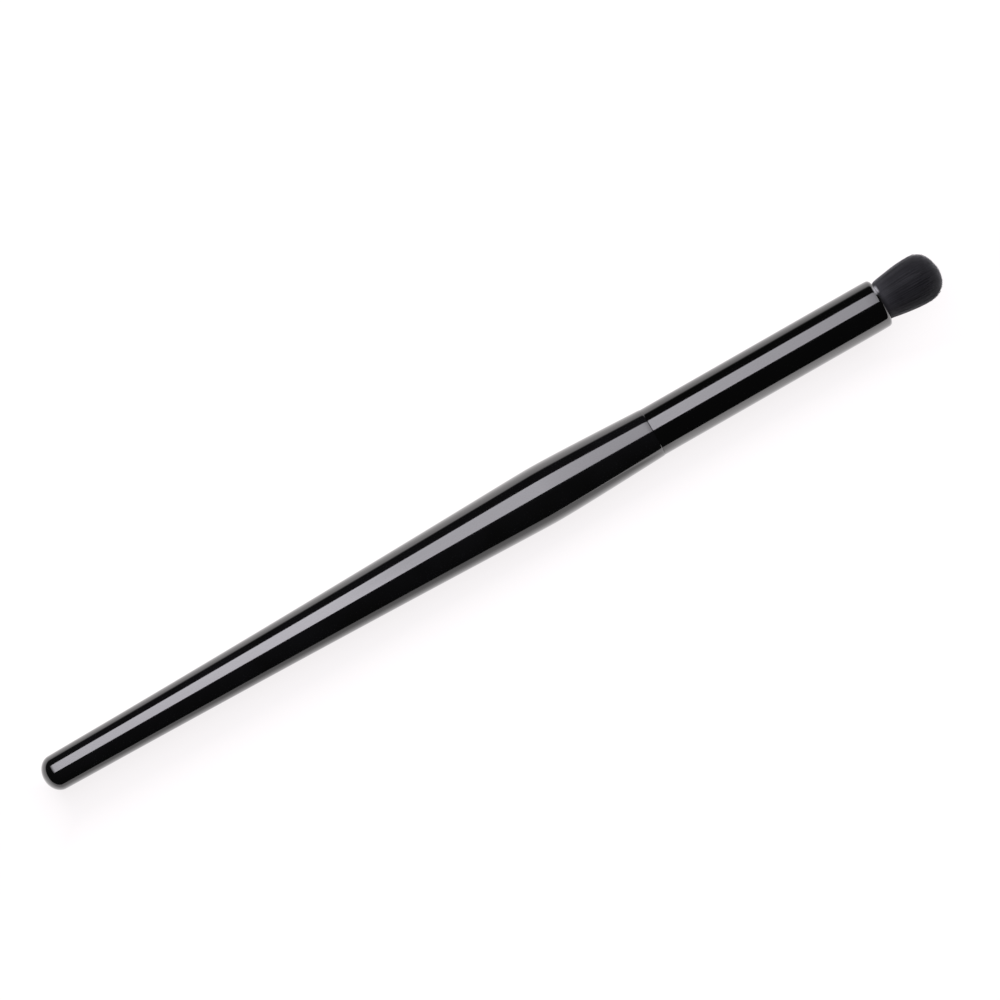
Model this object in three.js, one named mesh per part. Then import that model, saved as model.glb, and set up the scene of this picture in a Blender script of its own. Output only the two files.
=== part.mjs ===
// An eyebrow brush: a lacquered wooden handle, a black aluminium ferrule and a domed tuft of fine filaments.
// Millimetres, +Z up. The brush lies along X with its tuft towards +X and the belly of its handle on z = 0.
// Every piece is round about the brush's long axis, and is drawn from its own rear end forwards.

import * as THREE from "three";

// Handle
const HANDLE_LENGTH = 105; // butt end to the shoulder that meets the ferrule
const BUTT_RADIUS = 2.81;
const BUTT_DOME = 2.3; // length of the rounded butt end
const BELLY_RADIUS = 4.6; // the thickest place, under the fingertips
const BELLY_TO_SHOULDER = 19;
const BELLY_CREST = 4; // how far the belly runs level, each way
const TAPER_SLOPE = 0.0128; // gain of radius per mm just ahead of the butt
const SWELL_LENGTH = 33.7; // length behind the belly over which the taper swells from that slope
const NECK_SLOPE = 0.043; // loss of radius per mm just behind the shoulder's eased edge
const NECK_REACH = 6; // how far back that slope draws the neck
const NECK_PROUD = 0.105; // neck over the ferrule where the eased edge starts
const SHOULDER_EASE = 1; // length of the shoulder's eased edge

// Tenon turned on the front of the handle, which is glued into the ferrule
const TENON_LENGTH = 15;
const TENON_CHAMFER = 0.8;
const GROOVE_OFFSET = 3; // shoulder to the middle of the first glue groove
const GROOVE_PITCH = 3.5;
const GROOVE_WIDTH = 1.2;
const GROOVE_DEPTH = 0.3;

// Ferrule, a drawn tube with its mouth rolled in
const FERRULE_LENGTH = 39.5;
const FERRULE_DIAMETER = 7.75;
const FERRULE_WALL = 0.4;
const TAIL_EASE = 0.1; // rounded rear edge
const LIP_ROUND = 0.7; // outer round of the rolled mouth
const LIP_TUCK = 0.5; // how far the mouth closes in from the bore
const LIP_DEPTH = 0.8; // length of the closed-in mouth
const LIP_THROAT = 0.9; // length of the cone from the bore to the mouth

// Tuft outside the mouth
const TUFT_RADIUS = 3.78; // at its widest
const TUFT_FLARE = 5.75; // mouth to the widest place
const TUFT_LEVEL = 1.8; // how far back from there the flare runs level
const TUFT_DOME = 4.2; // widest place to the tip
const DOME_FULLNESS = 2.35; // 2 is an ellipse, more is squarer
const FILAMENT_RIDGES = 40;
const RIDGE_DEPTH = 0.12;

// What holds the tuft inside the ferrule
const PLUG_GAP = 1.5; // air between the tenon and the resin
const PLUG_BASE = 1.5; // resin behind the root
const ROOT_DEPTH = 5; // length of root cast into the resin
const TIE_OFFSET = 0.25; // resin to the first turn of thread
const TIE_DIAMETER = 0.3;
const TIE_TURNS = 3;

// Clearances
const SEAM = 0.05; // shoulder to the tail of the ferrule
const GLUE_FILM = 0.15; // tenon to bore
const FIT = 0.02; // any other seat

// Facets: how many round the axis and round the thread, and how many steps along each curve
const SEGMENTS = 40;
const TIE_SIDES = 6;
const STEPS = { butt: 8, taper: 14, neck: 8, ease: 4, lip: 6, flare: 7, dome: 9 };

// Radii that follow from those sizes
const ferruleRadius = FERRULE_DIAMETER / 2;
const boreRadius = ferruleRadius - FERRULE_WALL;
const mouthRadius = boreRadius - LIP_TUCK;
const tenonRadius = boreRadius - GLUE_FILM;
const grooveRadius = tenonRadius - GROOVE_DEPTH;
const rootRadius = boreRadius - TIE_DIAMETER - 2 * FIT;
const tuftNeckRadius = mouthRadius - FIT;

// Stations along the brush, from the butt end
const belly = HANDLE_LENGTH - BELLY_TO_SHOULDER;
const ferruleTail = HANDLE_LENGTH + SEAM;
const mouth = ferruleTail + FERRULE_LENGTH;
const plugRear = HANDLE_LENGTH + TENON_LENGTH + PLUG_GAP;
const rootRear = plugRear + PLUG_BASE + FIT;
const plugFront = rootRear + ROOT_DEPTH;
const firstTurn = plugFront + TIE_OFFSET + TIE_DIAMETER / 2;
const tieFront = firstTurn + TIE_TURNS * (TIE_DIAMETER + FIT) + TIE_DIAMETER / 2;
const tip = mouth + TUFT_FLARE + TUFT_DOME;

// A point of an outline: its distance from the axis and its distance forward
const at = (radius, forward) => new THREE.Vector2(radius, forward);

// A quarter round in an outline, about the given centre, from one angle to the next
function round(centre, radius, from, to, steps, depth = radius) {
  return new THREE.EllipseCurve(centre.x, centre.y, radius, depth, from, to).getPoints(steps);
}

// An outline turned about the axis, with a flat facet underneath
function turned(outline, segments = SEGMENTS) {
  return new THREE.LatheGeometry(outline, segments, Math.PI / segments);
}

// Middles of the glue grooves, forward of the shoulder
function grooveMiddles() {
  const room = TENON_LENGTH - TENON_CHAMFER - GROOVE_OFFSET - GROOVE_WIDTH;
  const count = Math.max(0, Math.floor(room / GROOVE_PITCH) + 1);
  return Array.from({ length: count }, (_, i) => GROOVE_OFFSET + i * GROOVE_PITCH);
}

// Handle: domed butt, long hollow taper, belly, short neck, shoulder and grooved tenon
function handleGeometry() {
  const neckRadius = ferruleRadius + NECK_PROUD;
  const shoulderEdge = HANDLE_LENGTH - SHOULDER_EASE;
  const swellRear = belly - SWELL_LENGTH;
  const buttEnd = round(at(0, BUTT_DOME), BUTT_RADIUS, -Math.PI / 2, 0, STEPS.butt, BUTT_DOME);
  const taper = new THREE.CubicBezierCurve(
    at(BUTT_RADIUS, BUTT_DOME),
    at(BUTT_RADIUS + TAPER_SLOPE * (swellRear - BUTT_DOME), swellRear),
    at(BELLY_RADIUS, belly - BELLY_CREST),
    at(BELLY_RADIUS, belly),
  );
  const neck = new THREE.CubicBezierCurve(
    at(BELLY_RADIUS, belly),
    at(BELLY_RADIUS, belly + BELLY_CREST),
    at(neckRadius + NECK_SLOPE * NECK_REACH, shoulderEdge - NECK_REACH),
    at(neckRadius, shoulderEdge),
  );
  const ease = new THREE.QuadraticBezierCurve(
    at(neckRadius, shoulderEdge),
    at(neckRadius - NECK_SLOPE * SHOULDER_EASE, HANDLE_LENGTH),
    at(ferruleRadius, HANDLE_LENGTH),
  );
  const grooves = grooveMiddles().flatMap((middle) => {
    const rear = HANDLE_LENGTH + middle - GROOVE_WIDTH / 2;
    const front = rear + GROOVE_WIDTH;
    return [at(tenonRadius, rear), at(grooveRadius, rear), at(grooveRadius, front), at(tenonRadius, front)];
  });
  const tenonEnd = HANDLE_LENGTH + TENON_LENGTH;
  return turned([
    ...buttEnd,
    ...taper.getPoints(STEPS.taper).slice(1),
    ...neck.getPoints(STEPS.neck).slice(1),
    ...ease.getPoints(STEPS.ease).slice(1),
    at(tenonRadius, HANDLE_LENGTH),
    ...grooves,
    at(tenonRadius, tenonEnd - TENON_CHAMFER),
    at(tenonRadius - TENON_CHAMFER, tenonEnd),
    at(0, tenonEnd),
  ]);
}

// Glue film round the tenon, with a rib in each groove
function tenonAdhesiveGeometry() {
  const outer = boreRadius - FIT;
  const inner = tenonRadius + FIT;
  const ribInner = grooveRadius + FIT;
  const front = TENON_LENGTH - TENON_CHAMFER;
  const ribs = grooveMiddles()
    .reverse()
    .flatMap((middle) => {
      const half = GROOVE_WIDTH / 2 - FIT;
      return [
        at(inner, middle + half),
        at(ribInner, middle + half),
        at(ribInner, middle - half),
        at(inner, middle - half),
      ];
    });
  return turned([
    at(outer, SEAM),
    at(outer, front),
    at(inner, front),
    ...ribs,
    at(inner, SEAM),
    at(outer, SEAM),
  ]);
}

// Ferrule: eased tail, straight tube, rolled mouth, and a throat that opens back to the bore
function ferruleGeometry() {
  const lipRound = Math.min(LIP_ROUND, FERRULE_WALL + LIP_TUCK);
  const tailCentre = at(ferruleRadius - TAIL_EASE, TAIL_EASE);
  const lipCentre = at(ferruleRadius - lipRound, FERRULE_LENGTH - lipRound);
  return turned([
    at(boreRadius, 0),
    ...round(tailCentre, TAIL_EASE, -Math.PI / 2, 0, STEPS.ease),
    ...round(lipCentre, lipRound, 0, Math.PI / 2, STEPS.lip),
    at(mouthRadius, FERRULE_LENGTH),
    at(mouthRadius, FERRULE_LENGTH - LIP_DEPTH),
    at(boreRadius, FERRULE_LENGTH - LIP_DEPTH - LIP_THROAT),
    at(boreRadius, 0),
  ]);
}

// Resin cup cast round the root of the tuft
function rootEpoxyGeometry() {
  const outer = boreRadius - FIT;
  const inner = rootRadius + FIT;
  const front = plugFront - plugRear;
  return turned([
    at(0, 0),
    at(outer, 0),
    at(outer, front),
    at(inner, front),
    at(inner, PLUG_BASE),
    at(0, PLUG_BASE),
  ]);
}

// A helix wound round the Y axis
class Winding extends THREE.Curve {
  constructor(radius, pitch, turns) {
    super();
    this.radius = radius;
    this.pitch = pitch;
    this.turns = turns;
  }

  getPoint(share, target = new THREE.Vector3()) {
    const angle = share * this.turns * 2 * Math.PI;
    return target.set(
      this.radius * Math.sin(angle),
      share * this.turns * this.pitch,
      this.radius * Math.cos(angle),
    );
  }
}

// Thread wound round the root, turn beside turn
function tuftBindingGeometry() {
  const threadRadius = TIE_DIAMETER / 2;
  const corners = Array.from({ length: TIE_SIDES }, (_, i) => {
    const angle = (2 * Math.PI * i) / TIE_SIDES;
    return at(threadRadius * Math.cos(angle), threadRadius * Math.sin(angle));
  });
  return new THREE.ExtrudeGeometry(new THREE.Shape(corners), {
    steps: Math.round(TIE_TURNS * SEGMENTS),
    bevelEnabled: false,
    extrudePath: new Winding(rootRadius + FIT + threadRadius, TIE_DIAMETER + FIT, TIE_TURNS),
  });
}

// Tuft: a straight root, a neck through the mouth, a flare and a dome, ridged lengthwise by its filaments
function bristleTuftGeometry() {
  const mouthPlane = mouth - rootRear;
  const widest = mouthPlane + TUFT_FLARE;
  const lipRear = mouthPlane - LIP_DEPTH - LIP_THROAT;
  const flare = new THREE.QuadraticBezierCurve(
    at(tuftNeckRadius, mouthPlane),
    at(TUFT_RADIUS, widest - TUFT_LEVEL),
    at(TUFT_RADIUS, widest),
  ).getPoints(STEPS.flare);
  const dome = Array.from({ length: STEPS.dome }, (_, i) => {
    const angle = ((i + 1) / STEPS.dome) * (Math.PI / 2);
    const outward = Math.max(0, Math.cos(angle)) ** (2 / DOME_FULLNESS);
    const forward = Math.sin(angle) ** (2 / DOME_FULLNESS);
    return at(TUFT_RADIUS * outward, widest + TUFT_DOME * forward);
  });
  const root = [
    at(0, 0),
    at(rootRadius, 0),
    at(rootRadius, tieFront - rootRear),
    at(tuftNeckRadius, lipRear),
  ];
  const outline = [...root, ...flare, ...dome];
  const tuft = turned(outline, 2 * FILAMENT_RIDGES);
  sinkBetweenRidges(tuft, outline.length, root.length, root.length + flare.length - 1);
  return tuft;
}

// Sinks every other column of the skin from the mouth on, so that filaments stand up as ridges.
// Past the widest row the columns change places row by row, which leaves one raised tip per filament.
function sinkBetweenRidges(tuft, rows, mouthRow, widestRow) {
  const { position, normal } = tuft.attributes;
  const point = new THREE.Vector3();
  const outward = new THREE.Vector3();
  for (let vertex = 0; vertex < position.count; vertex++) {
    const column = Math.floor(vertex / rows);
    const row = vertex % rows;
    const stagger = Math.max(0, row - widestRow);
    if (row <= mouthRow || row === rows - 1 || (column + stagger) % 2 === 0) continue;
    const depth = RIDGE_DEPTH * Math.min(1, (row - mouthRow) / (widestRow - mouthRow));
    point.fromBufferAttribute(position, vertex);
    outward.fromBufferAttribute(normal, vertex);
    point.addScaledVector(outward, -depth);
    position.setXYZ(vertex, point.x, point.y, point.z);
  }
}

// One named piece, set with its rear end at a station along the axis
function piece(name, geometry, station, finish) {
  const mesh = new THREE.Mesh(geometry, new THREE.MeshStandardMaterial(finish));
  mesh.name = name;
  mesh.position.y = station;
  return mesh;
}

// The pieces stand along Y in this group, which is laid down along X
const axis = new THREE.Group();
axis.rotation.z = -Math.PI / 2;
axis.position.set(-tip / 2, 0, BELLY_RADIUS * Math.cos(Math.PI / SEGMENTS));
axis.add(
  piece("handle", handleGeometry(), 0, { color: 0x0b0b0d, roughness: 0.12, metalness: 0 }),
  piece("tenon_adhesive", tenonAdhesiveGeometry(), HANDLE_LENGTH, {
    color: 0xd9c48c,
    roughness: 0.5,
    metalness: 0,
  }),
  piece("ferrule", ferruleGeometry(), ferruleTail, { color: 0x09090a, roughness: 0.15, metalness: 0.4 }),
  piece("root_epoxy", rootEpoxyGeometry(), plugRear, { color: 0xc9a45a, roughness: 0.25, metalness: 0 }),
  piece("tuft_binding", tuftBindingGeometry(), firstTurn, { color: 0xe6e2d6, roughness: 0.9, metalness: 0 }),
  piece("bristle_tuft", bristleTuftGeometry(), rootRear, { color: 0x2b2a2c, roughness: 0.8, metalness: 0 }),
);

const brush = new THREE.Group();
brush.add(axis);

export default brush;
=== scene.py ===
"""An eyebrow brush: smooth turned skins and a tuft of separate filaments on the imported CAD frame.

Lengths are metres in the frame's axes: +X runs along the brush to the tip, +Z is up, and the brush lies
on z = 0.
"""

import math

import bmesh
import bpy
import numpy as np
from mathutils import Matrix, Vector


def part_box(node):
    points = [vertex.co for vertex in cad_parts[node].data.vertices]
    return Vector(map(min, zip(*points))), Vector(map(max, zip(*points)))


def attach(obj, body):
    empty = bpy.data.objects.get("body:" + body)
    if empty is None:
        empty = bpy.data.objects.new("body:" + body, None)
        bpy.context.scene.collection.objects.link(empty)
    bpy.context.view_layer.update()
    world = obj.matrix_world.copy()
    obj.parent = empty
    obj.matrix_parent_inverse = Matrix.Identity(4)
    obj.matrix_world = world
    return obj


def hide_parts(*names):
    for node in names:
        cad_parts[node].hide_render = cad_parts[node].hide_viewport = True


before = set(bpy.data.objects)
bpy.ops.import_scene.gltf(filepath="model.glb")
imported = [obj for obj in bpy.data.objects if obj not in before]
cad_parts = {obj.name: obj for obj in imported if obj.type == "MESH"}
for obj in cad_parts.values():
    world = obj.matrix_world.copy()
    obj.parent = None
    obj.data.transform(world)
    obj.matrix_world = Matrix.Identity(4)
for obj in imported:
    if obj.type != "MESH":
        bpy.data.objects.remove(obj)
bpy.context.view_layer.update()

MM = 0.001

# Places read from the frame
FERRULE_LOW, FERRULE_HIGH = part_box("ferrule")
TUFT_LOW, TUFT_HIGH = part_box("bristle_tuft")
AXIS_HEIGHT = (FERRULE_LOW.z + FERRULE_HIGH.z) / 2
TAIL = FERRULE_LOW.x
MOUTH = FERRULE_HIGH.x
ROOT = TUFT_LOW.x
TIP = TUFT_HIGH.x

# Turned skins
SEGMENTS = 144
ARC_STEPS = 12
SKIN_STEP = 0.8 * MM  # longest step along a smooth outline
SKIN_CUTS = 4  # fewest steps between two corners of the CAD outline
MERGE = 0.004 * MM  # closer corners are one corner
CREASE = math.radians(35)  # sharper edges stay crisp

# Ferrule
WALL = 0.4 * MM
SEAM_CLOSED = 0.03 * MM  # how far the skin's tail reaches back over the seam
TAIL_EASE = 0.06 * MM
LIP_ROUND = 0.7 * MM
LIP_TUCK = 0.5 * MM  # how far the mouth is rolled in past the bore
LIP_LEAD = (1.8 * MM, 0.035 * MM)  # length and depth of the slight closing in before the lip's round
LIP_EDGE = 0.12 * MM  # round on the lip's inner edge
LIP_DEPTH = 0.8 * MM  # length of the closed-in mouth
LIP_THROAT = 0.9 * MM  # length of the cone from the bore to the mouth

# Filaments
FILAMENTS = 3100
FILAMENT_RADIUS = 0.05 * MM
TIP_RADIUS = 0.016 * MM
TIP_TAPER = 0.35  # share of the free length over which a filament thins
FILAMENT_SIDES = 3
FREE_STEPS = 8
STEP_GROWTH = 1.4  # over 1, the steps are shorter near the mouth
GOLDEN_ANGLE = math.pi * (3 - math.sqrt(5))  # from one filament to the next, which packs them evenly
ANGLE_SCATTER = 0.008  # radians
SIDE_SCATTER = 0.045 * MM
SIDE_GROWTH = 1.5  # power by which that scatter grows towards the tip
SEED = 11

# Tuft
TUFT_RADIUS = 3.83 * MM
TUFT_NECK = 2.97 * MM
TUFT_FLARE = 6.15 * MM  # mouth to the widest place
TUFT_LEVEL = 2.4 * MM  # how far back from there the flare runs level
WIDEST = MOUTH + TUFT_FLARE
DOME_FULLNESS = 2.37  # 2 is an ellipse, more is squarer
SQUARER_SIDE = 0.45  # by how much more, on the +Y side
SHORTER_SIDE = 0.14  # share of the dome's length lost there
TUFT_LEAN = 0.17 * MM  # towards +Y
LEAN_GROWTH = 0.25  # power by which the lean grows towards the tip
TIP_SCATTER = 0.08 * MM
LIP_SPILL = 0.1 * MM  # how far filaments on the +Y side bulge out just past the mouth
SPILL_AHEAD = 0.6 * MM  # where they bulge most
PILE = 0.9  # share of the whole tuft's facing in a filament's shading, the rest is its own

# Texture map of the tuft
MAP_NAME = "OFBake"  # name of the tuft's own texture map
MAP_ALONG = (0.02, 0.12, 0.98)  # places of the root, the mouth and the tip
MAP_AROUND = (0.02, 0.98)  # start and end of one turn round the axis

# Black lacquer
HANDLE_TONES = ((0.0026, 0.0026, 0.0026), (0.0052, 0.0052, 0.006))
FERRULE_TONES = ((0.0008, 0.0008, 0.0008), (0.0015, 0.0015, 0.0015))
LACQUER_IOR = 1.62
COAT_ROUGHNESS = 0.03
POLISH = (0.06, 0.12)  # least and most roughness under the coat
PATCH_SIZE = 6 * MM  # of the faint patches of tone
RUB_WIDTH = 0.5 * MM  # of the fine rub marks
RUB_LONGER = 14  # times longer than wide
RUB_HEIGHT = 0.0002 * MM
WAVE_WIDTH = 1.6 * MM  # of the slight waves in the surface
WAVE_HEIGHT = 0.0012 * MM

# Painted glint: part of the edge of the mouth, on its lit upper side only, left as bare metal to stand
# in for a glint on the lip
GLINT_METAL = (0.88, 0.88, 0.9)
GLINT_DEPTH = 0.5 * MM  # along the brush
GLINT_FADE = 0.3  # share of that depth over which it fades
GLINT_SIDE = (1.1 * MM, 1.5 * MM, 2.1 * MM, 2.6 * MM)  # along Y: from, full, full, to
GLINT_ROUGHNESS = 0.6  # added to the polish

# Charcoal filaments
FILAMENT_TONES = ((0.02, 0.0197, 0.0238), (0.0275, 0.027, 0.0324))
FILAMENT_POLISH = (0.62, 0.48)  # roughness of the darkest and of the lightest ones
STREAK_WIDTH = 0.06 * MM  # of the streaks of shade
STREAK_LONGER = 40  # times longer than wide
LIT_ENDS_TONE = (0.0455, 0.045, 0.052)  # painted light: a lighter tone just ahead of the mouth and at the tips
LIT_ROOT_REACH = (0.1 * MM, 0.6 * MM, 2.4 * MM)  # ahead of the mouth: from, full, to
LIT_TIP_LENGTH = 3.3 * MM  # length over which the painted light on the tips rises
LIT_TIP_SHARE = 0.9  # how strong that painted light is at the end
# painted glow: a near-white tone on the roots just past the mouth, on the lit upper side beside the
# painted glint
ROOT_GLOW_TONE = (0.93, 0.93, 0.95)
ROOT_GLOW_REACH = 0.42 * MM  # how far the painted glow on the roots reaches past the mouth, beside the painted glint
ROOT_GLOW_SIDE = (1.2 * MM, 1.7 * MM, 2.1 * MM, 2.7 * MM)  # along Y: from, full, full, to
UPPER_FADE = 0.5 * MM  # height above the axis at which the painted glint and the painted glow on the roots are full

# What is inside the ferrule: name of the finish, two tones, least roughness and size of the grain
INSIDE = {
    "tenon_adhesive": ("wood_glue", (0.62, 0.47, 0.2), (0.76, 0.62, 0.33), 0.4, 0.6 * MM),
    "root_epoxy": ("cast_resin", (0.5, 0.3, 0.07), (0.64, 0.42, 0.13), 0.15, 1.2 * MM),
    "tuft_binding": ("tie_thread", (0.68, 0.63, 0.54), (0.84, 0.8, 0.72), 0.7, 0.08 * MM),
}
INSIDE_IOR = 1.5
GRAIN_ROUGHNESS = 0.15  # most over least
GRAIN_HEIGHT = 1 / 20  # share of the grain's size
NOISE_MIDDLE = (0.3, 0.7)  # most of a noise's values lie between these

# Camera
PICTURE_WIDTH = 149.98 * MM  # seen across the picture at the brush
AIM = Vector((2.843 * MM, 2.54 * MM, AXIS_HEIGHT))
AZIMUTH = math.radians(-29.74)
ELEVATION = math.radians(88)
LENS = 250.0
SENSOR = 36.0

# Soft box, and the dark studio round it
SOFTBOX_LEAN = math.radians(29.8)  # from straight up towards +Y
SOFTBOX_SPAN = math.radians(50.8)  # of its width, seen from the brush
SOFTBOX_DISTANCE = 0.7  # from the brush's axis
SOFTBOX_ENDS = (-0.7, 0.7)  # along X
SOFTBOX_RADIANCE = 2.95
SOFTBOX_COLOUR = (1.0, 0.975, 1.05)
BUTT_GLOW = ((-0.068, 1.42), (-0.046, 1.045))  # (X, share of that): brighter at the butt end
SOFTBOX_FADES = (  # the same, all multiplied: dimmer towards and past both ends of the brush
    ((-0.45, 0.0), (-0.08, 1.0)),
    ((0.03, 1.0), (0.09, 0.87)),
    ((0.09, 1.0), (0.2, 0.62)),
)
STUDIO_LEVEL = 0.015  # in reflections

# Floor: paper that is mostly plain white, on a dark table that only reflections see
FLOOR_SIZE = 6.0
PAPER_COLOUR = (0.92, 0.97, 0.96)  # of the share that is lit and shaded
WHITE_COLOUR = (1.0, 0.97, 0.98)  # of the share that is plain
WHITE_LEVEL = 1.07  # of the plain share, to the camera
SHADED_SHARE = 0.825  # the plain share where the brush's shade is deepest
SHADED_SIDES = ((-14 * MM, -7 * MM), (2 * MM, -2 * MM))  # (Y of no shade, Y of deepest shade), each side
SHADED_ENDS = (  # (X, plain share): fainter shade beside the tuft and past the butt end
    ((62 * MM, SHADED_SHARE), (80 * MM, 0.95)),
    ((-76 * MM, SHADED_SHARE), (-82 * MM, 0.95)),
)
TABLE_LEVEL = 0.03
PAPER_REACH = (30 * MM, 150 * MM)  # along Y: from the paper to the table
PAPER_CLOSER = ((0, 1.0), (80 * MM, 2.44))  # (X either way, how many times closer that comes)

# Level of the plain white in reflections
HANDLE_FLOOR = ((-20 * MM, 0.6), (-9 * MM, 0.9))  # (Y, level) in the handle's -Y side
HANDLE_ENDS = (  # (X, share of that): more towards the butt end and the belly
    ((-80 * MM, 1.25), (-48 * MM, 1.0)),
    ((-10 * MM, 1.0), (20 * MM, 1.18)),
)
FERRULE_FLOOR = ((-20 * MM, 1.28), (-9 * MM, 1.1))  # (Y, level) in the ferrule's -Y side
BACK_FLOOR = (0.98, 0.88)  # in the +Y side of the handle and of the ferrule
SEAM_CHANGE = (-1.6 * MM, 3.2 * MM)  # past the seam: from the handle's level to the ferrule's
SIDE_CHANGE = (0, 2 * MM)  # along Y: from the -Y side's level to the +Y side's


# Mesh building

def mesh_object(name, corners, faces):
    """A closed, smooth-shaded mesh object with its faces turned outwards."""
    mesh = bpy.data.meshes.new(name)
    mesh.from_pydata([tuple(c) for c in corners], [], faces)
    shaped = bmesh.new()
    shaped.from_mesh(mesh)
    bmesh.ops.recalc_face_normals(shaped, faces=shaped.faces)
    shaped.to_mesh(mesh)
    shaped.free()
    mesh.shade_smooth()
    made = bpy.data.objects.new(name, mesh)
    bpy.context.scene.collection.objects.link(made)
    return made


def turned(name, outline, closed=False):
    """Revolves (station, radius) points round the brush's axis."""
    corners, rows, faces = [], [], []
    angles = (np.arange(SEGMENTS) + 0.5) * 2 * math.pi / SEGMENTS
    for station, radius in outline:
        turn = angles if radius > MERGE else angles[:1]
        size = radius if radius > MERGE else 0.0
        rows.append(list(range(len(corners), len(corners) + len(turn))))
        corners += [(station, size * math.sin(a), AXIS_HEIGHT + size * math.cos(a)) for a in turn]
    for row, beyond in zip(rows, rows[1:] + (rows[:1] if closed else [])):
        for i in range(SEGMENTS):
            j = (i + 1) % SEGMENTS
            near = [row[i % len(row)], row[j % len(row)]]
            far = [beyond[j % len(beyond)], beyond[i % len(beyond)]]
            faces.append(list(dict.fromkeys(near + far)))
    made = mesh_object(name, corners, faces)
    made.data.set_sharp_from_angle(angle=CREASE)
    return made


def arc(station, radius, size, start, end):
    """Points on a round; angles in degrees, 0 is straight out and 90 points at the tip."""
    angles = np.radians(np.linspace(start, end, ARC_STEPS + 1))
    return [(station + size * math.sin(a), radius + size * math.cos(a)) for a in angles]


def cad_outline(node):
    """The (station, radius) corners of a turned CAD node, in order from the butt end to the tip end."""
    places = np.array([v.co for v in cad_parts[node].data.vertices])
    radii = np.hypot(places[:, 1], places[:, 2] - AXIS_HEIGHT)
    order = np.argsort(places[:, 0])
    rings = []
    for station, radius in zip(places[order, 0], radii[order]):
        if not rings or station - rings[-1][0] > MERGE:
            rings.append((station, []))
        if all(abs(radius - other) > MERGE for other in rings[-1][1]):
            rings[-1][1].append(radius)
    outline = [(rings[0][0], 0.0)]
    for station, sizes in rings:
        last = outline[-1][1]
        outline += [(station, r) for r in sorted(sizes, key=lambda r: abs(r - last)) if r > MERGE]
    return outline + [(rings[-1][0], 0.0)]


def smoothed(points):
    """A finer outline on a smooth curve through the points, which starts square to the axis."""
    mirrored_start = (points[1][0], -points[1][1])
    known = np.array([mirrored_start, *points])
    steps = np.linalg.norm(np.diff(known, axis=0), axis=1)
    along = np.concatenate([[0], np.cumsum(steps)])
    slopes = np.zeros_like(known)
    slopes[1:-1] = (known[2:] - known[:-2]) / (along[2:] - along[:-2])[:, None]
    slopes[-1] = (known[-1] - known[-2]) / steps[-1]
    fine = []
    for i in range(1, len(known) - 1):
        leave, arrive = slopes[i] * steps[i], slopes[i + 1] * steps[i]
        cuts = max(SKIN_CUTS, math.ceil(steps[i] / SKIN_STEP))
        fine += [hermite(known[i], known[i + 1], leave, arrive, u) for u in np.arange(cuts) / cuts]
    return fine + [tuple(known[-1])]


def hermite(start, end, leave, arrive, u):
    """A point at share u of the cubic from start to end with those end slopes."""
    rise = u * u * (3 - 2 * u)
    place = start + (end - start) * rise + leave * u * (1 - u) ** 2 - arrive * u * u * (1 - u)
    return float(place[0]), max(0.0, float(place[1]))


# Handle and ferrule

def make_handle():
    """The handle as far as its shoulder on a smooth curve, and its tenon as it is in the CAD."""
    outline = cad_outline("handle")
    inner = range(2, len(outline) - 1)
    shoulder = next(i for i in inner if outline[i + 1][0] - outline[i][0] < MERGE)
    return turned("handle_skin", smoothed(outline[: shoulder + 1]) + outline[shoulder + 1 :])


def lead_in(end, radius, length, depth):
    """A slight closing in of the tube that ends at that station."""
    return [(end - length * (1 - u), radius - depth * u * u) for u in np.arange(ARC_STEPS) / ARC_STEPS]


def make_ferrule():
    outer = max(radius for _, radius in cad_outline("ferrule"))
    bore = outer - WALL
    mouth = bore - LIP_TUCK
    tail = TAIL - SEAM_CLOSED
    outline = [
        *arc(tail + TAIL_EASE, outer - TAIL_EASE, TAIL_EASE, -90, 0),
        *lead_in(MOUTH - LIP_ROUND, outer, *LIP_LEAD),
        *arc(MOUTH - LIP_ROUND, outer - LIP_LEAD[1] - LIP_ROUND, LIP_ROUND, 0, 90),
        *arc(MOUTH - LIP_EDGE, mouth + LIP_EDGE, LIP_EDGE, 90, 180),
        (MOUTH - LIP_DEPTH, mouth),
        (MOUTH - LIP_DEPTH - LIP_THROAT, bore),
        *arc(tail + TAIL_EASE, bore + TAIL_EASE, TAIL_EASE, 180, 270),
    ]
    return turned("ferrule_skin", outline, closed=True)


# Tuft

def bundle_radius(station):
    """The bundle's radius at a station: straight in the ferrule, flaring in front of the mouth."""
    bend = TUFT_FLARE - TUFT_LEVEL
    ahead = np.clip(station - MOUTH, 0, TUFT_FLARE)
    curve = TUFT_FLARE - 2 * bend
    share = (np.sqrt(bend * bend + curve * ahead) - bend) / curve
    return TUFT_RADIUS - (TUFT_RADIUS - TUFT_NECK) * (1 - share) ** 2


def filament_places(random):
    """Each filament's share of the bundle's radius, and its (Y, Z) direction from the axis."""
    count = np.arange(FILAMENTS)
    share = np.sqrt((count + 0.5) / FILAMENTS)
    angle = count * GOLDEN_ANGLE + random.normal(0, ANGLE_SCATTER, FILAMENTS)
    return share, np.stack([np.sin(angle), np.cos(angle)], 1)


def filament_tips(random, share, out):
    """The station of each filament's tip, and its share of the dome's height."""
    side = np.maximum(out[:, 0], 0)
    fullness = DOME_FULLNESS + SQUARER_SIDE * side
    dome = (1 - share**fullness) ** (1 / fullness)
    tips = WIDEST + (TIP - TIP_SCATTER - WIDEST) * dome * (1 - SHORTER_SIDE * side * share)
    scatter = random.normal(0, TIP_SCATTER, FILAMENTS)
    return tips + np.clip(scatter, -2 * TIP_SCATTER, TIP_SCATTER), dome


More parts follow.
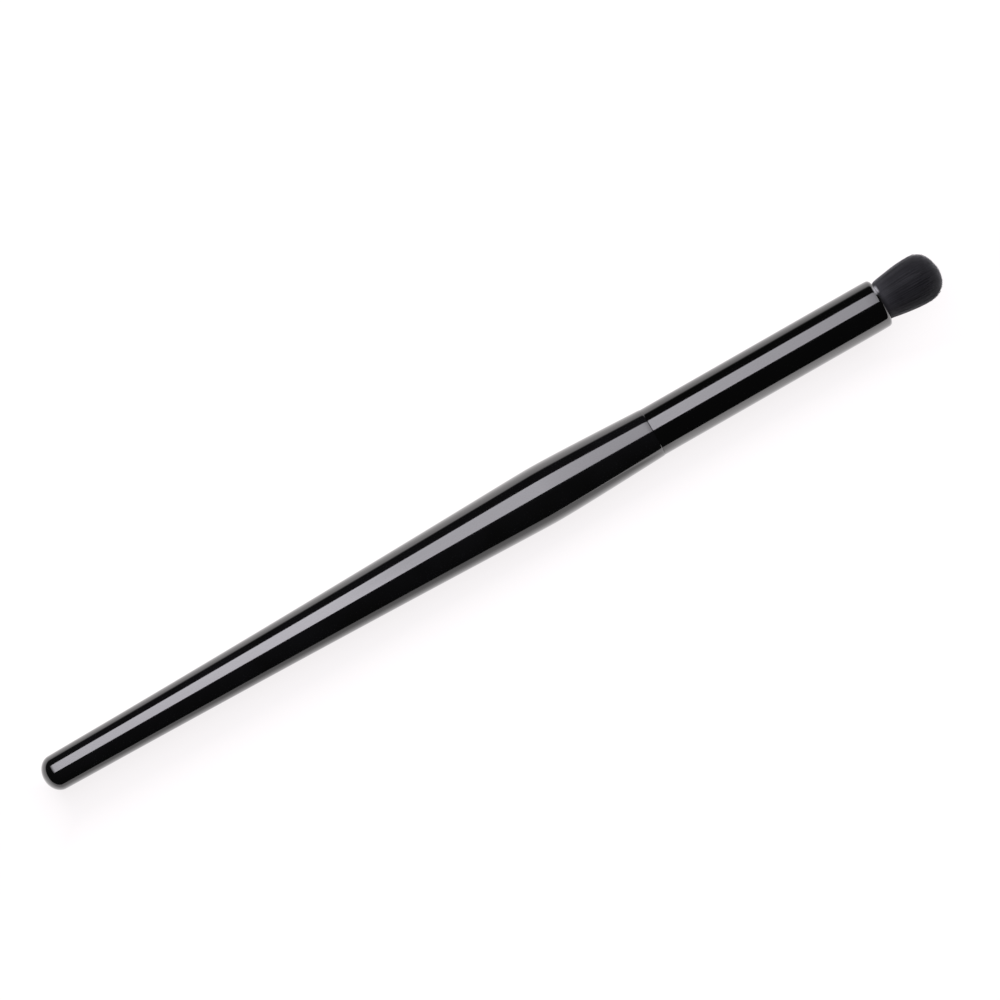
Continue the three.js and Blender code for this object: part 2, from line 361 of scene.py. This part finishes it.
def outside_facing(share, out, dome):
    """The way the tuft's outside faces where each filament shows."""
    ahead = dome ** (DOME_FULLNESS - 1) / (TIP - WIDEST)
    aside = out * (share ** (DOME_FULLNESS - 1) / TUFT_RADIUS)[:, None]
    facing = np.concatenate([ahead[:, None], aside], 1)
    return facing / np.linalg.norm(facing, axis=1, keepdims=True)


def lip_spill(share, out, stations):
    """How far each filament bulges out on the +Y side at those stations."""
    ahead = np.maximum(stations - MOUTH, 0) / SPILL_AHEAD
    spill = (share * np.maximum(out[:, 0], 0))[:, None] * ahead * np.exp(1 - ahead)
    return LIP_SPILL * spill


def filament_paths(random):
    """Middle lines of all filaments as [filament, step, xyz], the radius at each step, and facings."""
    share, out = filament_places(random)
    tips, dome = filament_tips(random, share, out)
    held = np.tile([ROOT, MOUTH - LIP_DEPTH - LIP_THROAT, MOUTH], (FILAMENTS, 1))
    free = (np.arange(1, FREE_STEPS + 1) / FREE_STEPS) ** STEP_GROWTH
    stations = np.concatenate([held, MOUTH + np.outer(tips - MOUTH, free)], 1)
    reach = np.concatenate([np.zeros(held.shape[1]), free])
    sizes = share[:, None] * (bundle_radius(stations) - FILAMENT_RADIUS)
    stray = random.normal(0, SIDE_SCATTER, (FILAMENTS, 2))
    sides = out[:, None] * sizes[..., None] + stray[:, None] * (reach**SIDE_GROWTH)[:, None]
    sides[..., 0] += TUFT_LEAN * reach**LEAN_GROWTH + lip_spill(share, out, stations)
    paths = np.stack([stations, sides[..., 0], AXIS_HEIGHT + sides[..., 1]], 2)
    thin = np.clip((1 - reach) / TIP_TAPER, 0, 1)
    radii = TIP_RADIUS + (FILAMENT_RADIUS - TIP_RADIUS) * np.sqrt(thin)
    return paths, radii, outside_facing(share, out, dome)


def prism_faces(steps):
    """The sides and the ends of all filaments, as the numbers of their corners."""
    grid = np.arange(FILAMENTS * steps * FILAMENT_SIDES).reshape(FILAMENTS, steps, FILAMENT_SIDES)
    after = np.roll(grid, -1, axis=2)
    sides = np.stack([grid[:, :-1], after[:, :-1], after[:, 1:], grid[:, 1:]], 3).reshape(-1, 4)
    ends = np.concatenate([grid[:, 0, ::-1], grid[:, -1]])
    return [*sides.tolist(), *ends.tolist()]


def around_axis(paths, radii, turn):
    """Each corner's place round the axis: the angle of its filament's root, and a little to a side."""
    angle = np.arctan2(paths[:, 0, 1], paths[:, 0, 2] - AXIS_HEIGHT) % (2 * math.pi)
    aside = np.sin(turn - angle[:, None])[:, None] * radii[:, None] / TUFT_NECK
    return angle[:, None, None] + aside


def map_filaments(mesh, stations, around):
    """Lays the corners on a texture map by their stations and their places round the axis."""
    low, high = MAP_AROUND
    along = np.interp(stations, [ROOT, MOUTH, TIP], MAP_ALONG)
    across = low + (high - low) * around / (2 * math.pi)
    places = np.stack([along, across], -1).reshape(-1, 2)
    corner = np.empty(len(mesh.loops), np.int32)
    mesh.loops.foreach_get("vertex_index", corner)
    layer = mesh.uv_layers.new(name=MAP_NAME)
    layer.uv.foreach_set("vector", places[corner].astype(np.float32).ravel())


def shade_filaments(mesh, facing, ring, steps):
    """Shades each filament mostly as the whole tuft faces, and a little by its own sides."""
    shaded = PILE * facing[:, None] + (1 - PILE) * ring
    shaded /= np.linalg.norm(shaded, axis=2, keepdims=True)
    every_step = np.repeat(shaded[:, None], steps, axis=1)
    mesh.normals_split_custom_set_from_vertices(every_step.reshape(-1, 3))


def make_tuft():
    """A thin closed prism along each filament."""
    random = np.random.default_rng(SEED)
    paths, radii, facing = filament_paths(random)
    spins = random.uniform(0, 2 * math.pi, FILAMENTS)
    turn = spins[:, None] + np.arange(FILAMENT_SIDES) * 2 * math.pi / FILAMENT_SIDES
    ring = np.stack([np.zeros_like(turn), np.sin(turn), np.cos(turn)], 2)
    corners = paths[:, :, None] + radii[None, :, None, None] * ring[:, None]
    made = mesh_object("tuft_filaments", corners.reshape(-1, 3), prism_faces(len(radii)))
    map_filaments(made.data, corners[..., 0], around_axis(paths, radii, turn))
    shade_filaments(made.data, facing, ring, len(radii))
    return made


# Shader nodes

def axis_of(tree, vector, axis):
    split = tree.nodes.new("ShaderNodeSeparateXYZ")
    tree.links.new(vector, split.inputs[0])
    return split.outputs[axis]


def ramp(tree, source, start, end, smooth=False):
    """Runs from start to end, each an (input, output) pair, and is level beyond them."""
    made = tree.nodes.new("ShaderNodeMapRange")
    made.interpolation_type = "SMOOTHSTEP" if smooth else "LINEAR"
    for socket, value in zip(("From Min", "To Min", "From Max", "To Max"), (*start, *end)):
        made.inputs[socket].default_value = value
    tree.links.new(source, made.inputs["Value"])
    return made.outputs["Result"]


def feed(tree, value, socket):
    """Sets a socket to a number, or links it to another node's output."""
    if isinstance(value, float):
        socket.default_value = value
    else:
        tree.links.new(value, socket)


def combine(tree, operation, first, second, held=True):
    """The result of a math operation on two values, as a rule held between 0 and 1."""
    made = tree.nodes.new("ShaderNodeMath")
    made.operation = operation
    made.use_clamp = held
    feed(tree, first, made.inputs[0])
    feed(tree, second, made.inputs[1])
    return made.outputs[0]


def blend(tree, share, first, second):
    """Runs from the first value to the second as the share goes from 0 to 1."""
    made = tree.nodes.new("ShaderNodeMix")
    feed(tree, share, made.inputs["Factor"])
    feed(tree, first, made.inputs["A"])
    feed(tree, second, made.inputs["B"])
    return made.outputs["Result"]


def mix_shaders(tree, share, first, second):
    made = tree.nodes.new("ShaderNodeMixShader")
    tree.links.new(share, made.inputs["Fac"])
    tree.links.new(first.outputs[0], made.inputs[1])
    tree.links.new(second.outputs[0], made.inputs[2])
    return made


def frame_place(tree):
    """The place on the object, in metres on the frame's axes."""
    return tree.nodes.new("ShaderNodeTexCoord").outputs["Object"]


def noise(tree, size, longer=1, detail=4.0):
    """Noise with features of about that size, and that many times longer along the brush."""
    scale = tree.nodes.new("ShaderNodeMapping")
    scale.inputs["Scale"].default_value = (1 / (size * longer), 1 / size, 1 / size)
    tree.links.new(frame_place(tree), scale.inputs["Vector"])
    made = tree.nodes.new("ShaderNodeTexNoise")
    made.inputs["Scale"].default_value = 1.0
    made.inputs["Detail"].default_value = detail
    tree.links.new(scale.outputs["Vector"], made.inputs["Vector"])
    return made.outputs["Fac"]


def spread(tree, source, low, high):
    """The middle range of a noise stretched to run from low to high."""
    start, end = NOISE_MIDDLE
    return ramp(tree, source, (start, low), (end, high))


# Finishes

def new_finish(name, **sockets):
    """A material, its node tree and its shader, with constant values on the shader's own sockets."""
    material = bpy.data.materials.new(name)
    material.use_nodes = True
    shader = material.node_tree.nodes["Principled BSDF"]
    for socket, value in sockets.items():
        shader.inputs[socket.replace("_", " ")].default_value = value
    return material, material.node_tree, shader


def colour_between(shader, source, first, second):
    """Sets the base colour to run from first to second as the source goes from 0 to 1."""
    tree = shader.id_data
    made = tree.nodes.new("ShaderNodeMix")
    made.data_type = "RGBA"
    made.inputs["A"].default_value = (*first, 1)
    made.inputs["B"].default_value = (*second, 1)
    tree.links.new(source, made.inputs["Factor"])
    tree.links.new(made.outputs["Result"], shader.inputs["Base Color"])


def tint(shader, share, colour):
    """Mixes the base colour over to another one by that share."""
    below = shader.inputs["Base Color"].links[0].from_socket
    colour_between(shader, share, colour, colour)
    shader.id_data.links.new(below, shader.inputs["Base Color"].links[0].from_node.inputs["A"])


def relief(shader, *layers):
    """Bumps the surface by each (source, height in metres) in turn."""
    tree = shader.id_data
    for source, height in layers:
        made = tree.nodes.new("ShaderNodeBump")
        made.inputs["Distance"].default_value = height
        tree.links.new(source, made.inputs["Height"])
        below = shader.inputs["Normal"].links
        if below:
            tree.links.new(below[0].from_socket, made.inputs["Normal"])
        tree.links.new(made.outputs["Normal"], shader.inputs["Normal"])


def lacquer(name, tones):
    """Black gloss lacquer: faint unevenness of tone, polish and surface, under a clear coat."""
    material, tree, shader = new_finish(
        name, Coat_Weight=1.0, Coat_Roughness=COAT_ROUGHNESS, Coat_IOR=LACQUER_IOR, IOR=LACQUER_IOR
    )
    colour_between(shader, spread(tree, noise(tree, PATCH_SIZE), 0, 1), *tones)
    rub = noise(tree, RUB_WIDTH, longer=RUB_LONGER)
    tree.links.new(spread(tree, rub, *POLISH), shader.inputs["Roughness"])
    relief(shader, (noise(tree, WAVE_WIDTH, detail=2.0), WAVE_HEIGHT), (rub, RUB_HEIGHT))
    return material


def upper_side(tree, place, stretch):
    """1 on the upper half over the middle of a stretch of Y, fading to 0 at its ends."""
    low, first, last, high = stretch
    across = axis_of(tree, place, "Y")
    rise = ramp(tree, across, (low, 0), (first, 1))
    fall = ramp(tree, across, (last, 1), (high, 0))
    above = ramp(tree, axis_of(tree, place, "Z"), (AXIS_HEIGHT, 0), (AXIS_HEIGHT + UPPER_FADE, 1))
    return combine(tree, "MULTIPLY", above, combine(tree, "MULTIPLY", rise, fall))


def glint_edge(material):
    """Painted glint: leaves part of the edge at the ferrule's mouth, on its lit upper side, as bare
    metal that stands in for a glint on the lip.
    """
    tree = material.node_tree
    shader = tree.nodes["Principled BSDF"]
    place = frame_place(tree)
    start, full = MOUTH - GLINT_DEPTH, MOUTH - GLINT_DEPTH * (1 - GLINT_FADE)
    edge = ramp(tree, axis_of(tree, place, "X"), (start, 0), (full, 1))
    glint_mask = combine(tree, "MULTIPLY", edge, upper_side(tree, place, GLINT_SIDE))
    # painted glint: bare metal on the lit upper side of the mouth's edge, standing in for a glint on the
    # lip
    tint(shader, glint_mask, GLINT_METAL)
    tree.links.new(glint_mask, shader.inputs["Metallic"])
    polish = shader.inputs["Roughness"].links[0].from_socket
    glint_blur = combine(tree, "MULTIPLY", glint_mask, GLINT_ROUGHNESS)
    tree.links.new(combine(tree, "ADD", polish, glint_blur), shader.inputs["Roughness"])
    return material


def root_glow(tree):
    """Painted glow on the roots: falls from 1 at the mouth to 0, on the lit upper side beside the
    painted glint.
    """
    place = frame_place(tree)
    along = ramp(tree, axis_of(tree, place, "X"), (MOUTH, 1), (MOUTH + ROOT_GLOW_REACH, 0))
    return combine(tree, "MULTIPLY", along, upper_side(tree, place, ROOT_GLOW_SIDE))


def lit_ends(tree):
    """Painted light on the tuft: rises from 0 to 1 just in front of the mouth and, less, towards the
    tip.
    """
    along = axis_of(tree, frame_place(tree), "X")
    start, full, end = [MOUTH + ahead for ahead in LIT_ROOT_REACH]
    rise = ramp(tree, along, (start, 0), (full, 1))
    fall = ramp(tree, along, (full, 1), (end, 0))
    root = combine(tree, "MINIMUM", rise, fall)
    return combine(tree, "ADD", root, ramp(tree, along, (TIP - LIT_TIP_LENGTH, 0), (TIP, LIT_TIP_SHARE)))


def filament_finish():
    """Charcoal filaments, each a slightly different shade, with a velvet sheen, painted light at the
    mouth and tips, and a painted glow on the roots.
    """
    material, tree, shader = new_finish(
        "charcoal_filament", Sheen_Weight=0.8, Sheen_Roughness=0.45, IOR=1.5, Specular_IOR_Level=0.2
    )
    shade = noise(tree, STREAK_WIDTH, longer=STREAK_LONGER, detail=1.0)
    colour_between(shader, spread(tree, shade, 0, 1), *FILAMENT_TONES)
    # painted light: a lighter tone just past the mouth and towards the tips
    tint(shader, lit_ends(tree), LIT_ENDS_TONE)
    # painted glow on the roots beside the painted glint
    tint(shader, root_glow(tree), ROOT_GLOW_TONE)
    tree.links.new(spread(tree, shade, *FILAMENT_POLISH), shader.inputs["Roughness"])
    return material


def cast_finish(name, first, second, roughness, grain):
    """Glue, resin or thread inside the ferrule: two tones, uneven polish and a fine relief."""
    material, tree, shader = new_finish(name, IOR=INSIDE_IOR)
    patches = noise(tree, grain)
    colour_between(shader, spread(tree, patches, 0, 1), first, second)
    uneven = spread(tree, patches, roughness, roughness + GRAIN_ROUGHNESS)
    tree.links.new(uneven, shader.inputs["Roughness"])
    relief(shader, (patches, grain * GRAIN_HEIGHT))
    return material


def dress(piece, material):
    piece.data.materials.clear()
    piece.data.materials.append(material)


# Camera and light

def make_camera():
    data = bpy.data.cameras.new("camera")
    data.lens = LENS
    data.sensor_width = SENSOR
    camera = bpy.data.objects.new("camera", data)
    flat = math.cos(ELEVATION)
    back = Vector((math.sin(AZIMUTH) * flat, -math.cos(AZIMUTH) * flat, math.sin(ELEVATION)))
    camera.location = AIM + back * PICTURE_WIDTH * LENS / SENSOR
    camera.rotation_mode = "QUATERNION"
    camera.rotation_quaternion = (-back).to_track_quat("-Z", "Y")
    bpy.context.scene.collection.objects.link(camera)
    bpy.context.scene.camera = camera


def make_softbox():
    """A long area light over the brush, facing its axis."""
    low, high = SOFTBOX_ENDS
    data = bpy.data.lights.new("softbox", "AREA")
    data.shape = "RECTANGLE"
    data.size = high - low
    data.size_y = 2 * SOFTBOX_DISTANCE * math.tan(SOFTBOX_SPAN / 2)
    data.energy = SOFTBOX_RADIANCE * math.pi * data.size * data.size_y
    data.color = SOFTBOX_COLOUR
    fade_along(data)
    softbox = bpy.data.objects.new("softbox", data)
    softbox.visible_camera = False
    out = Vector((0, math.sin(SOFTBOX_LEAN), math.cos(SOFTBOX_LEAN)))
    across = Vector((1, 0, 0))
    place = Vector(((low + high) / 2, 0, AXIS_HEIGHT)) + out * SOFTBOX_DISTANCE
    turn = Matrix((across, out.cross(across), out)).transposed().to_4x4()
    softbox.matrix_world = Matrix.Translation(place) @ turn
    bpy.context.scene.collection.objects.link(softbox)


def fade_along(light):
    """Fades the light's strength along X."""
    light.use_nodes = True
    tree = light.node_tree
    along = axis_of(tree, tree.nodes.new("ShaderNodeNewGeometry").outputs["Position"], "X")
    strength = ramp(tree, along, *BUTT_GLOW, smooth=True)
    for fade in SOFTBOX_FADES:
        strength = combine(tree, "MULTIPLY", strength, ramp(tree, along, *fade), held=False)
    tree.links.new(strength, tree.nodes["Emission"].inputs["Strength"])


def make_world():
    """White behind the floor's edge, and a dark studio in every reflection."""
    world = bpy.data.worlds.new("studio")
    bpy.context.scene.world = world
    world.use_nodes = True
    tree = world.node_tree
    path = tree.nodes.new("ShaderNodeLightPath")
    strength = ramp(tree, path.outputs["Is Camera Ray"], (0, STUDIO_LEVEL), (1, 1))
    tree.links.new(strength, tree.nodes["Background"].inputs["Strength"])
    tree.nodes["Background"].inputs["Color"].default_value = (1, 1, 1, 1)


# Floor

def make_floor():
    half = FLOOR_SIZE / 2
    corners = [(-half, -half, 0), (half, -half, 0), (half, half, 0), (-half, half, 0)]
    mesh = bpy.data.meshes.new("floor")
    mesh.from_pydata(corners, [], [(0, 1, 2, 3)])
    floor = bpy.data.objects.new("floor", mesh)
    bpy.context.scene.collection.objects.link(floor)
    mesh.materials.append(floor_finish())


def floor_finish():
    """White paper: mostly plain white to the camera and in reflections, the rest lit and shaded.

    In reflections the paper ends a little way past the brush, on a dark table.
    """
    material = bpy.data.materials.new("white_paper")
    material.use_nodes = True
    tree = material.node_tree
    tree.nodes.clear()
    paper = tree.nodes.new("ShaderNodeBsdfDiffuse")
    paper.inputs["Color"].default_value = (*PAPER_COLOUR, 1)
    white = tree.nodes.new("ShaderNodeEmission")
    white.inputs["Color"].default_value = (*WHITE_COLOUR, 1)
    table = tree.nodes.new("ShaderNodeEmission")
    table.inputs["Strength"].default_value = TABLE_LEVEL
    place = tree.nodes.new("ShaderNodeNewGeometry").outputs["Position"]
    path = tree.nodes.new("ShaderNodeLightPath").outputs
    mirrored = combine(tree, "ADD", path["Is Glossy Ray"], path["Is Transmission Ray"])
    seen = combine(tree, "ADD", path["Is Camera Ray"], mirrored)
    tree.links.new(floor_level(tree, place, mirrored), white.inputs["Strength"])
    sheet = mix_shaders(tree, combine(tree, "MULTIPLY", seen, plain_share(tree, place)), paper, white)
    beyond = combine(tree, "MULTIPLY", path["Is Glossy Ray"], past_paper(tree, place))
    seen_floor = mix_shaders(tree, beyond, sheet, table)
    out = tree.nodes.new("ShaderNodeOutputMaterial")
    tree.links.new(seen_floor.outputs[0], out.inputs["Surface"])
    return material


def plain_share(tree, place):
    """The share of plain white: all of the paper, apart from where the brush's shade falls."""
    along, across = axis_of(tree, place, "X"), axis_of(tree, place, "Y")
    front, back = [ramp(tree, across, (clear, 1), (deep, SHADED_SHARE)) for clear, deep in SHADED_SIDES]
    share = combine(tree, "MAXIMUM", front, back)
    for end in SHADED_ENDS:
        share = combine(tree, "MAXIMUM", share, ramp(tree, along, *end))
    return share


def floor_level(tree, place, mirrored):
    """Brightness of the plain white, with its own levels in reflections on each side of each part."""
    along, across = axis_of(tree, place, "X"), axis_of(tree, place, "Y")
    start, end = [TAIL + past for past in SEAM_CHANGE]
    past_seam = ramp(tree, along, (start, 0), (end, 1))
    handle = ramp(tree, across, *HANDLE_FLOOR)
    for share in HANDLE_ENDS:
        handle = combine(tree, "MULTIPLY", handle, ramp(tree, along, *share), held=False)
    front = blend(tree, past_seam, handle, ramp(tree, across, *FERRULE_FLOOR))
    back = blend(tree, past_seam, *BACK_FLOOR)
    start, end = SIDE_CHANGE
    level = blend(tree, ramp(tree, across, (start, 0), (end, 1)), front, back)
    return blend(tree, mirrored, WHITE_LEVEL, level)


def past_paper(tree, place):
    """0 on the paper round the brush and 1 on the table past its edge, to the +Y side."""
    either_way = combine(tree, "ABSOLUTE", axis_of(tree, place, "X"), 0.0, held=False)
    closer = ramp(tree, either_way, *PAPER_CLOSER)
    reach = combine(tree, "MULTIPLY", axis_of(tree, place, "Y"), closer, held=False)
    start, end = PAPER_REACH
    return ramp(tree, reach, (start, 0), (end, 1), smooth=True)


# The whole scene

def add_piece(piece, node, material):
    """Dresses a piece that stands for a CAD node, and sets it on the brush's one body."""
    dress(piece, material)
    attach(piece, "root")
    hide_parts(node)


make_camera()
make_softbox()
make_floor()
make_world()
bpy.context.scene.view_settings.view_transform = "Standard"

add_piece(make_handle(), "handle", lacquer("handle_gloss", HANDLE_TONES))
# the ferrule's lacquer, with a painted glint at its mouth
ferrule_finish = glint_edge(lacquer("ferrule_gloss", FERRULE_TONES))
add_piece(make_ferrule(), "ferrule", ferrule_finish)
add_piece(make_tuft(), "bristle_tuft", filament_finish())
for node, finish in INSIDE.items():
    dress(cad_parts[node], cast_finish(*finish))
